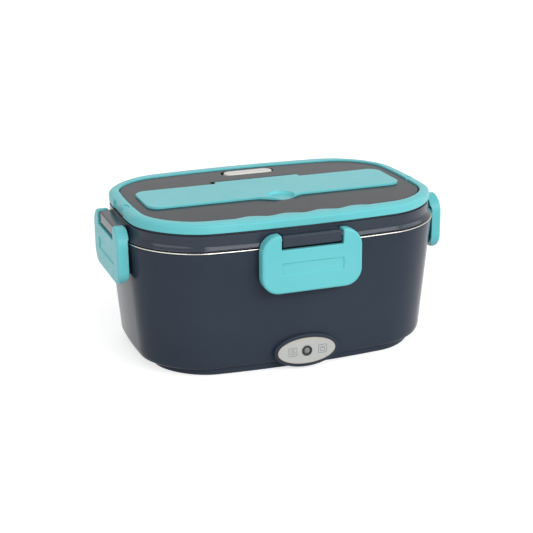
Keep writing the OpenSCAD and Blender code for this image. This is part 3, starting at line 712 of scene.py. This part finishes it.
def makeLidShell():
    k = lidLook
    lip = soften(k["lip"], k["lipRoll"], 4)[1:-1]
    top = soften(k["top"], k["topRoll"], 4)[1:]
    shell = skinned("lidShell", planRings(k["inside"] + lip + curveThrough(k["flare"], 5) + top))
    foot, step, slope, head = k["blockRun"]
    bm = bmesh.new()
    for side in sides:
        low, high = k["blockBack"][sides[side][0]]
        back = [(low, foot), (low, step), (high, slope), (high, head)]
        bar(bm, k["blockFoot"] + back + k["blockHead"], k["blockHalf"], k["blockEdge"],
            sidePlace(side))
    combine(shell, "UNION", piece("hingeBlocks", bm))
    combine(shell, "DIFFERENCE", skinned("bayWindow", column(roundRect(*k["bay"]), k["roof"])))
    combine(shell, "DIFFERENCE", stemHole(*k["roof"]))
    smooth(shell)
    dress(shell, glossSlate, "lid", "slate_plastic", "lid_shell")


lidLinerLook = {
    "sections": [(102.9, 68.4, 33.4, 92.0), (104.0, 69.5, 34.5, 90.8), (105.6, 71.1, 36.1, 90.8),
                 (105.6, 71.1, 36.1, 92.7), (108.6, 74.1, 39.1, 92.7), (108.6, 74.1, 39.1, 90.8),
                 (109.7, 75.2, 40.2, 90.8), (109.7, 75.2, 40.2, 92.3), (108.2, 73.7, 38.7, 93.6)],
    "roll": (0, 0.4, 0.3, 0, 0, 0.25, 0.25, 0.3, 0), "hole": (91, 95),
}
sealLook = {
    "sections": [(105.8, 71.3, 36.3, 90.9), (106.6, 72.1, 37.1, 90.45),
                 (107.8, 73.3, 38.3, 90.45), (108.4, 73.9, 38.9, 90.9),
                 (108.4, 73.9, 38.9, 92.65), (105.8, 71.3, 36.3, 92.65)],
    "roll": (0.2, 0.3, 0.3, 0.2, 0.2, 0.2),
}


def makeLidLiner():
    k = lidLinerLook
    liner = skinned("lidLiner", planRings(soften(k["sections"], k["roll"], 4)))
    combine(liner, "DIFFERENCE", stemHole(*k["hole"]))
    smooth(liner)
    dress(liner, slate, "lid", "slate_plastic", "lid_liner")
    seal = soften(sealLook["sections"], sealLook["roll"], 3, loop=True)
    ring = skinned("lidSeal", planRings(seal), loop=True)
    smooth(ring)
    dress(ring, silicone, "lid", "silicone", "lid_seal")


coverLook = {
    "half": 92.9, "width": 22.35, "corner": 9.0, "bump": 19.0, "bumpSteps": 24,
    "reach": 8.4, "tab": 31.8, "tabEnd": 27.2, "tabR": 1.2,
    "levels": [(1.1, 107.35), (0, 107.35), (0, 109.85), (1.15, 109.85)],
    "levelRoll": (0, 0.3, 0.75, 0), "hinge": (1.7, 26.0, 106.9),
    "skirt": ((87.5, 18.1, 2, 107.6), (87.5, 18.1, 2, 105.8), (86.3, 16.9, 1, 105.8),
              (86.3, 16.9, 1, 107.6)),
    "dish": (1.0, -22.0, 109.85), "dishWall": [(7.4, -2.1), (8.7, -2.1), (9.6, 0), (9.8, 0.5)],
    "dishRoll": (0, 0.6, 0, 0), "edge": (0.22, 25, 2),   # edge: width, least angle, steps
}


def coverOutline(m, tab=True):   # grown by m
    k = coverLook
    a, b, r = k["half"] + m, k["width"] + m, k["corner"] + m
    u, v = a - r, b - r
    reach, steps = k["bump"] + m, k["bumpSteps"]
    bump = [(reach * (i / steps - 1),
             -b - k["reach"] * (0.5 + 0.5 * math.cos(math.pi * (i / steps - 1))))
            for i in range(2 * steps + 1)]
    t, end, s = k["tab"], k["tabEnd"], k["tabR"]
    tabLine = []
    if tab:
        tabLine = (arc(t + s, b + s, s, 270, 180, 5) + arc(t - s, end - s, s, 0, 90, 6)
                   + arc(s - t, end - s, s, 90, 180, 6) + arc(-t - s, b + s, s, 0, -90, 5))
    return (arc(u, v, r, 0, 90, 12) + tabLine + arc(-u, v, r, 90, 180, 12)
            + arc(-u, -v, r, 180, 270, 12) + bump + arc(u, -v, r, 270, 360, 12))


topPanelLook = {
    "sections": [(99.2, 62.9, 25.6, 106.0), (99.2, 62.9, 25.6, 101.95),
                 (101.2, 64.9, 27.5, 101.95), (101.2, 64.9, 27.5, 108.3),
                 (99.5, 63.2, 25.8, 108.3)],
    "roll": (0, 0, 0, 0.9, 0), "edge": (0.12, 60, 2), "gap": 0.12, "pocketX": 2.1,
    "tub": (90, 20.6, 3.6, 8), "tubRun": (94.2, 106.4), "wellRun": (102.2, 106.4),
    "tabWell": (36, 8.8, 1, 3, 0, 26.8), "plugWell": (22.4, 8.2, 8.19, 12),
    "seat": 107.25, "bay": (88.4, 19, 2.4, 8), "bayFloor": 95.4,
    "tabSlot": (33.2, 6.2, 0.8, 4, 0, 27.2), "tabFloor": 104.2,
    "pocket": (20.4, 6.2, 6.19, 14), "pocketFloor": 104.6, "above": 112, "below": 90,
}


def makeTopPanel():
    k = topPanelLook
    pocket = (k["pocketX"], plugLook["place"][1])
    panel = skinned("topPanel", planRings(soften(k["sections"], k["roll"], 6)))
    combine(panel, "UNION",
            skinned("tub", column(roundRect(*k["tub"]), k["tubRun"])),
            skinned("tabWell", column(roundRect(*k["tabWell"]), k["wellRun"])),
            skinned("plugWell", column(roundRect(*k["plugWell"], *pocket), k["wellRun"])))
    for shape, low in ((coverOutline(k["gap"], tab=False), k["seat"]),
                       (roundRect(*k["bay"]), k["bayFloor"]),
                       (roundRect(*k["tabSlot"]), k["tabFloor"]),
                       (roundRect(*k["pocket"], *pocket), k["pocketFloor"])):
        combine(panel, "DIFFERENCE", skinned("cutter", column(shape, (low, k["above"]))))
    combine(panel, "DIFFERENCE", stemHole(k["below"], k["above"]))
    breakEdges(panel, *k["edge"])
    smooth(panel)
    dress(panel, greyPolypropylene, "lid", "panel_plastic", "lid_top_panel")


makeLidShell()
makeLidLiner()
makeTopPanel()
print("lid ready")

ringLook = {   # the turquoise ring: its back half is fixed, its front half is the handle
    "outer": (109.2, 76.2, 41.4),
    "foot": [(0.12, 102.5), (0, 102.5), (0, 106.9)], "footRoll": (0, 0.5, 0),
    "crown": [(0, 106.9), (0.02, 107.5), (0.08, 108.05), (0.2, 108.6), (0.4, 109.1),
              (0.65, 109.4), (0.92, 109.35)],
    "inside": [(0.92, 109.35), (1, 109.3), (1, 102.5), (0.88, 102.5)],
    "insideRoll": (0, 0.6, 0.5, 0),
    "front": (101.8, 68.2, 30.5), "back": (101.8, 65.4, 28.1),
    "frontEnd": 13.5, "backEnd": 12.8, "pin": (-9.0, 105.9),
    "bump": 2.9, "pitch": 24.4, "bumpX": 12.4,   # where the fingers go
}


def halfPlan(a, b, r, yEnd, bump):
    bx = wide["perHeight"] * b
    a0, b0 = a - bx, b - wide["bow"]
    u, v = a0 - r, b0 - r
    line = ([(-a0, -yEnd)] + between((-a0, -yEnd), (-a0, -v), 12) + arc(-u, -v, r, 180, 270, 30)
            + between((-u, -b0), (u, -b0), 150) + arc(u, -v, r, 270, 360, 30)
            + between((a0, -v), (a0, -yEnd), 12) + [(a0, -yEnd)])
    pitch = ringLook["pitch"]
    out = []
    for p in line:
        x, y = bowOut(p, a0, b0, bx)
        if bump and abs(x) < 2 * pitch + 0.2 and y < -v:
            y += bump * (0.5 + 0.5 * math.cos(math.tau * (x - ringLook["bumpX"]) / pitch))
        out.append((x, y))
    return out


def halfRing(name, inner, yEnd, bump=0, flip=1):
    k = ringLook
    line = soften(k["foot"], k["footRoll"], 4) + curveThrough(k["crown"], 5)[1:]
    line += soften(k["inside"], k["insideRoll"], 4)[1:]
    outside = halfPlan(*k["outer"], yEnd, 0)
    inside = halfPlan(*inner, yEnd, bump)
    bm = bmesh.new()
    rows = [[bm.verts.new(Vector((ox + s * (ix - ox), flip * (oy + s * (iy - oy)), z)) * mm)
             for s, z in line] for (ox, oy), (ix, iy) in zip(outside, inside)]
    count = len(line)
    for near, far in zip(rows, rows[1:]):
        for i in range(count):
            j = (i + 1) % count
            bm.faces.new((near[i], near[j], far[j], far[i]))
    bm.faces.new(rows[0][::-1])
    bm.faces.new(rows[-1])
    return piece(name, bm)


trimLook = {   # what is cut from its ends for the handle: two corners of each box, and its edge
    "cuts": {"outerCut": ((107.8, -14, 99), (113, 13.4, 113), 0.8),
             "cutter": ((103.9, -14, 99), (106.5, -5.6, 113), 0.05)},
    "corner": ((-113, -14), (113, 113), 0.02), "roundR": 3.8, "roundHalf": 114,
    "edge": (0.35, 50, 2),
}


def sideBox(lo, hi, s):   # the box's corners, mirrored for s of -1
    x0, x1 = sorted((s * lo[0], s * hi[0]))
    return (x0, *lo[1:]), (x1, *hi[1:])


def makeRearTrim():
    k = trimLook
    y0, z0 = ringLook["pin"]
    trim = halfRing("rearTrim", ringLook["back"], -ringLook["backEnd"], flip=-1)
    for s in (-1, 1):
        combine(trim, "DIFFERENCE", *[boxed(name, *sideBox(lo, hi, s), edge)
                                      for name, (lo, hi, edge) in k["cuts"].items()])
    (left, front), (right, top), edge = k["corner"]
    corner = boxed("corner", (left, front, z0), (right, y0, top), edge)
    half = k["roundHalf"]
    combine(corner, "DIFFERENCE", skinned("round", rod(k["roundR"], -half, half, y0, z0, 64)))
    combine(trim, "DIFFERENCE", corner)
    breakEdges(trim, *k["edge"])
    smooth(trim)
    dress(trim, turquoise, "lid", "turquoise_plastic", "rear_trim")


handleLook = {"tongueX": (104.1, 106.3), "tongueY": -15, "tongueZ": (-3, 2.6), "tongueEdge": 0.2,
              "eyeR": 3.2, "edge": (0.5, 60, 3)}


def makeHandle():
    k = handleLook
    y0, z0 = ringLook["pin"]
    handle = halfRing("foldHandle", ringLook["front"], ringLook["frontEnd"], ringLook["bump"])
    breakEdges(handle, *k["edge"])
    down, up = k["tongueZ"]
    bm = bmesh.new()
    for s in (-1, 1):
        lo, hi = sorted(s * x for x in k["tongueX"])
        box(bm, (lo, k["tongueY"], z0 + down), (hi, y0, z0 + up), k["tongueEdge"])
        skin(bm, rod(k["eyeR"], lo, hi, y0, z0, 40))
    combine(handle, "UNION", piece("tongues", bm))
    smooth(handle)
    dress(handle, turquoise, "handle", "turquoise_plastic", "handle")


makeRearTrim()
makeHandle()
print("handle ready")


def makeCover():
    k = coverLook
    cover = skinned("cutleryCover", levelRings(coverOutline(0),
                                               soften(k["levels"], k["levelRoll"], 5)))
    r, y, z = k["hinge"]
    bm = bmesh.new()
    skin(bm, rod(r, -k["tab"], k["tab"], y, z, 32))
    skin(bm, [[(x, y, z) for x, y in roundRect(a, b, r, 6)] for a, b, r, z in k["skirt"]],
         loop=True)
    combine(cover, "UNION", piece("underside", bm))
    wall = soften(k["dishWall"], k["dishRoll"], 5)
    combine(cover, "DIFFERENCE", skinned("dish", turned(wall, *k["dish"], steps=96)))
    breakEdges(cover, *k["edge"])
    smooth(cover)
    dress(cover, turquoise, "cutlery_cover", "turquoise_plastic", "cutlery_cover")


def makePlug():
    k = plugLook
    plug = skinned("steamPlug", levelRings(roundRect(*k["head"]),
                                           soften(k["levels"], k["roll"], 7), *k["place"]))
    combine(plug, "UNION", skinned("stem", turned(k["stem"], *k["place"], steps=48)))
    smooth(plug)
    dress(plug, silicone, "vent_plug", "silicone", "vent_plug")


makeCover()
makePlug()
print("cover ready")

latchLook = {
    "half": 35.2, "low": 60.0, "high": 100.0, "lowR": 12.0, "highR": 12.5,
    "notch": 21.8, "notchLow": 89.9, "earCorner": 1.0, "notchCorner": 0.6,
    "pin": (4.2, 95.8), "earR": 5.15, "edge": 1.8, "edgeSteps": 8, "notchEdge": 0.7,
    "faceInsets": (3.2, 2.3), "faceLag": 1.0, "wall": 2.6, "wallEdge": 0.3, "plate": 3.0,
    "backEdge": ((0, 0.5), (0.15, 0.15), (0.5, 0)),   # inset and how much less deep
    "depths": [(60, 3.6), (66.5, 7.5), (91.5, 7.5), (93.5, 8.4)],   # height and depth
    "earFront": [(2.5, 79.3), (2.5, 100.4)], "earArcs": ((66, 36), (-36, -66)),
    "earBack": [(5.4, 90.8), (5.0, 84.0), (3.3, 79.3)], "earShy": 0.1, "earOut": 36.5,
    "pad": (22.1, 4.4, 0.9, 76.7),
    "padWall": ((-0.3, -0.3), (0.1, 0.1), (0.4, 0.6), (0.65, 0.8)),   # inset and depth
    "hook": [(2, 61.5), (4.4, 61.5), (5.8, 64), (5.8, 66.4), (2, 67.4)],
    "hookHalf": 27.5, "hookEdge": 0.3,
}


# the latch seen from outside, moved in by m and at the notch by n; each point's third number
# says how far it belongs to the notch
def latchOutline(m, n):
    k = latchLook
    r1, r2, r3 = k["lowR"] - m, k["highR"] - m, max(k["earCorner"] - n, 0.05)
    cx1, cz1 = k["half"] - k["lowR"], k["low"] + k["lowR"]
    cx2, cz2 = k["half"] - k["highR"], k["high"] - k["highR"]
    cx3 = k["notch"] + n + r3
    past = max(0.0, cx3 - cx2)   # the ear's small corner then meets its big one on the slope
    cz3 = cz2 + math.sqrt((r2 - r3) ** 2 - past ** 2)
    turn = math.degrees(math.atan2(cz3 - cz2, past))
    cx4, cz4 = k["notch"] - k["notchCorner"], k["notchLow"] + k["notchCorner"]
    outer = (arc(cx1, cz1, r1, 270, 360, 14)
             + between((k["half"] - m, cz1), (k["half"] - m, cz2), 6)
             + arc(cx2, cz2, r2, 0, turn, 22))
    corner = arc(cx3, cz3, r3, turn, 180, 6)
    notch = (between((k["notch"] + n, cz3), (k["notch"] + n, cz4), 12)
             + arc(cx4, cz4, k["notchCorner"] + n, 0, -90, 4))
    right = ([(x, z, 0.0) for x, z in outer] + [(x, z, i / 6) for i, (x, z) in enumerate(corner)]
             + [(x, z, 1.0) for x, z in notch])
    left = [(-x, z, share) for x, z, share in right[::-1]]
    return right + between(right[-1], left[0], 16) + left + between(left[-1], right[0], 16)


def backDepth(x, z):
    k = latchLook
    if abs(x) < k["notch"] + 0.5 and 80 < z < k["notchLow"] + 0.7:   # behind the notch's foot
        return k["plate"] + 0.3
    y0, z0 = k["pin"]
    steps = k["depths"]
    depth = steps[-1][1]
    for (z1, d1), (z2, d2) in zip(steps, steps[1:]):
        if z <= z2:
            depth = d1 + (d2 - d1) * max(0.0, z - z1) / (z2 - z1)
            break
    rise = max(z - z0, 0.0)   # the ears stay inside a round about the pin
    return min(depth, y0 + math.sqrt(k["earR"] ** 2 - rise ** 2))


def latchBody():   # flat face, rolled edge, walls and the plate behind, as one stack of rings
    k = latchLook
    edge, small, wall, plate = k["edge"], k["notchEdge"], k["wall"], k["plate"]
    rings = [[(x, 0, z) for x, z, share in latchOutline(m, m - k["faceLag"])]
             for m in k["faceInsets"]]
    for i in range(k["edgeSteps"] + 1):   # tighter at the notch
        turn = math.radians(90 * i / k["edgeSteps"])
        out, down = 1 - math.sin(turn), 1 - math.cos(turn)
        rings.append([(x, down * (edge + (small - edge) * share), z)
                      for x, z, share in latchOutline(edge * out, small * out)])
    inner = ((wall - k["wallEdge"], 0), (wall, k["wallEdge"]))
    for m, less in k["backEdge"] + inner:
        least = plate + 0.05 if m > 1 else edge + 0.1
        rings.append([(x, max(backDepth(x, z) - less, least), z)
                      for x, z, share in latchOutline(m, m)])
    rings.append([(x, plate, z) for x, z, share in latchOutline(wall + 0.1, wall + 0.1)])
    return rings


def earSolid():   # the ears are solid round the pin
    k = latchLook
    y0, z0 = k["pin"]
    r = k["earR"] - k["earShy"]
    upper, lower = [arc(y0, z0, r, start, end, 6) for start, end in k["earArcs"]]
    profile = k["earFront"] + upper + lower + k["earBack"]
    solid = skinned("earSolid", *[[[(s * x, y, z) for y, z in profile]
                                   for x in (k["notch"] + 0.3, k["earOut"])] for s in (-1, 1)])
    plan = [[(x, y, z) for x, z, share in latchOutline(0.7, 0.7)] for y in (-1, 12)]
    combine(solid, "INTERSECT", skinned("earPlan", plan))
    return solid


def makeLatch(side):
    k = latchLook
    latch = skinned("latch" + side.capitalize(), latchBody())
    combine(latch, "UNION", earSolid())
    a, b, r, z0 = k["pad"]
    combine(latch, "DIFFERENCE", skinned("padHollow", [
        [(x, y, z + z0) for x, z in roundRect(a - s, b - s, r - s / 2, 5)]
        for s, y in k["padWall"]]))
    bm = bmesh.new()
    bar(bm, k["hook"], k["hookHalf"], k["hookEdge"])
    combine(latch, "UNION", piece("hook", bm))
    latch.data.transform(sidePlace(side))
    smooth(latch)
    dress(latch, turquoise, "latch_" + side, "turquoise_plastic", "latch_" + side)


for side in sides:
    makeLatch(side)
print("latches ready")

socketCoverLook = {
    "face": (16, 8.5, 3, 10), "z": 15, "roll": (0, 0.2, 0.6, 0),
    "levels": [(0.6, 73.75), (0, 73.75), (0, 75.4), (1.6, 75.4)],
    "hinge": (1.6, -11.6, 11.6, 75, 25.9), "neck": ((-11.6, 73.75, 22), (11.6, 75.4, 25.9), 0.2),
    "pull": ((-5, 75.0, 6.6), (5, 76.6, 8.2), 0.4),
}


def makeSocketCover():
    k = socketCoverLook
    flap = skinned("socketCover", uprightRings(roundRect(*k["face"]),
                                               soften(k["levels"], k["roll"], 5), k["z"]))
    bm = bmesh.new()
    skin(bm, rod(*k["hinge"], 40))
    box(bm, *k["neck"])
    box(bm, *k["pull"])
    combine(flap, "UNION", piece("flapHinge", bm))
    smooth(flap)
    dress(flap, rubber, "inlet_cover", "black_rubber", "inlet_cover")


makeSocketCover()

# CAD pieces that stay as they are
kept = [
    (zincSteel, ["base_screws", "clamp_screws", "heater_clamp", "handle_pins", "cover_hinge_pin",
                 "inlet_hinge_pin", "ptc_heater"] + ["latch_pin_" + side for side in sides]),
    (aluminium, ["heating_plate", "thermostat"]),
    (ceramic, ["thermal_fuse"]),
    (sleeve, ["wiring"]),
    (board, ["led_board"]),
    (blackAbs, ["power_inlet"]),
    (brass, ["inlet_pins"]),
    (rubber, ["rubber_feet"]),
]
for finish, names in kept:
    for name in names:
        for place in nodes[name].material_slots:
            place.material = finish
print("kept pieces dressed")

studioLook = {"world": 0.3, "sky": 1.0, "floor": "#d6d6d6", "lift": 0.66,
              "reach": 1.15}   # reach in metres
white = (1, 1, 1, 1)


def seenDirectly(tree):   # 1 for what the camera, gloss and glass see, else 0
    ray = addNode(tree, "ShaderNodeLightPath").outputs
    seen = addNode(tree, "ShaderNodeMath", {"operation": "MAXIMUM"},
                   {0: ray["Is Camera Ray"], 1: ray["Is Glossy Ray"]})
    both = addNode(tree, "ShaderNodeMath", {"operation": "MAXIMUM"},
                   {0: seen.outputs[0], 1: ray["Is Transmission Ray"]})
    return both.outputs[0]


def makeStudio():
    world = bpy.data.worlds.new("studio")
    world.use_nodes = True
    tree = world.node_tree
    tree.nodes.clear()
    dim, bright = [addNode(tree, "ShaderNodeBackground",
                           {"Color": white, "Strength": studioLook[level]}).outputs[0]
                   for level in ("world", "sky")]
    pick = addNode(tree, "ShaderNodeMixShader", {}, {0: seenDirectly(tree), 1: dim, 2: bright})
    addNode(tree, "ShaderNodeOutputWorld", {}, {"Surface": pick.outputs[0]})
    bpy.context.scene.world = world
    bm = bmesh.new()
    bmesh.ops.create_circle(bm, cap_ends=True, segments=128, radius=studioLook["reach"])
    floor = piece("floor", bm)
    paper, tree, surface = newMaterial("floorPaper", {
        "Base Color": linear(studioLook["floor"]), "Roughness": 0.9, "Specular IOR Level": 0.1,
        "Emission Color": white})
    lift = addNode(tree, "ShaderNodeMath", {"operation": "MULTIPLY", 1: studioLook["lift"]},
                   {0: seenDirectly(tree)})
    tree.links.new(lift.outputs[0], surface.inputs["Emission Strength"])
    floor.data.materials.append(paper)


lampsLook = {   # place and aim in metres, width and height in metres, watts
    "front": ((0.6, -1.9, 1.05), (0, 0, 0.05), (2.2, 0.8), 29),
    "left": ((-1.8, -0.9, 1.1), (0, 0, 0.05), (2.0, 0.8), 13),
    "right": ((1.9, -0.5, 1.05), (0, 0, 0.05), (1.6, 0.8), 10),
    "back": ((0.4, 1.4, 2.0), (0, 0, 0.05), (1.8, 0.8), 7),
}


def makeLamps():
    for name, (place, aim, size, watts) in lampsLook.items():
        data = bpy.data.lights.new(name, "AREA")
        data.shape = "RECTANGLE"
        data.size, data.size_y = size
        data.energy = watts
        lamp = bpy.data.objects.new(name, data)
        lamp.location = place
        lamp.rotation_euler = (Vector(aim) - Vector(place)).to_track_quat("-Z", "Y").to_euler()
        bpy.context.collection.objects.link(lamp)


makeStudio()
makeLamps()
bpy.context.scene.view_settings.view_transform = "Standard"
print("studio ready")
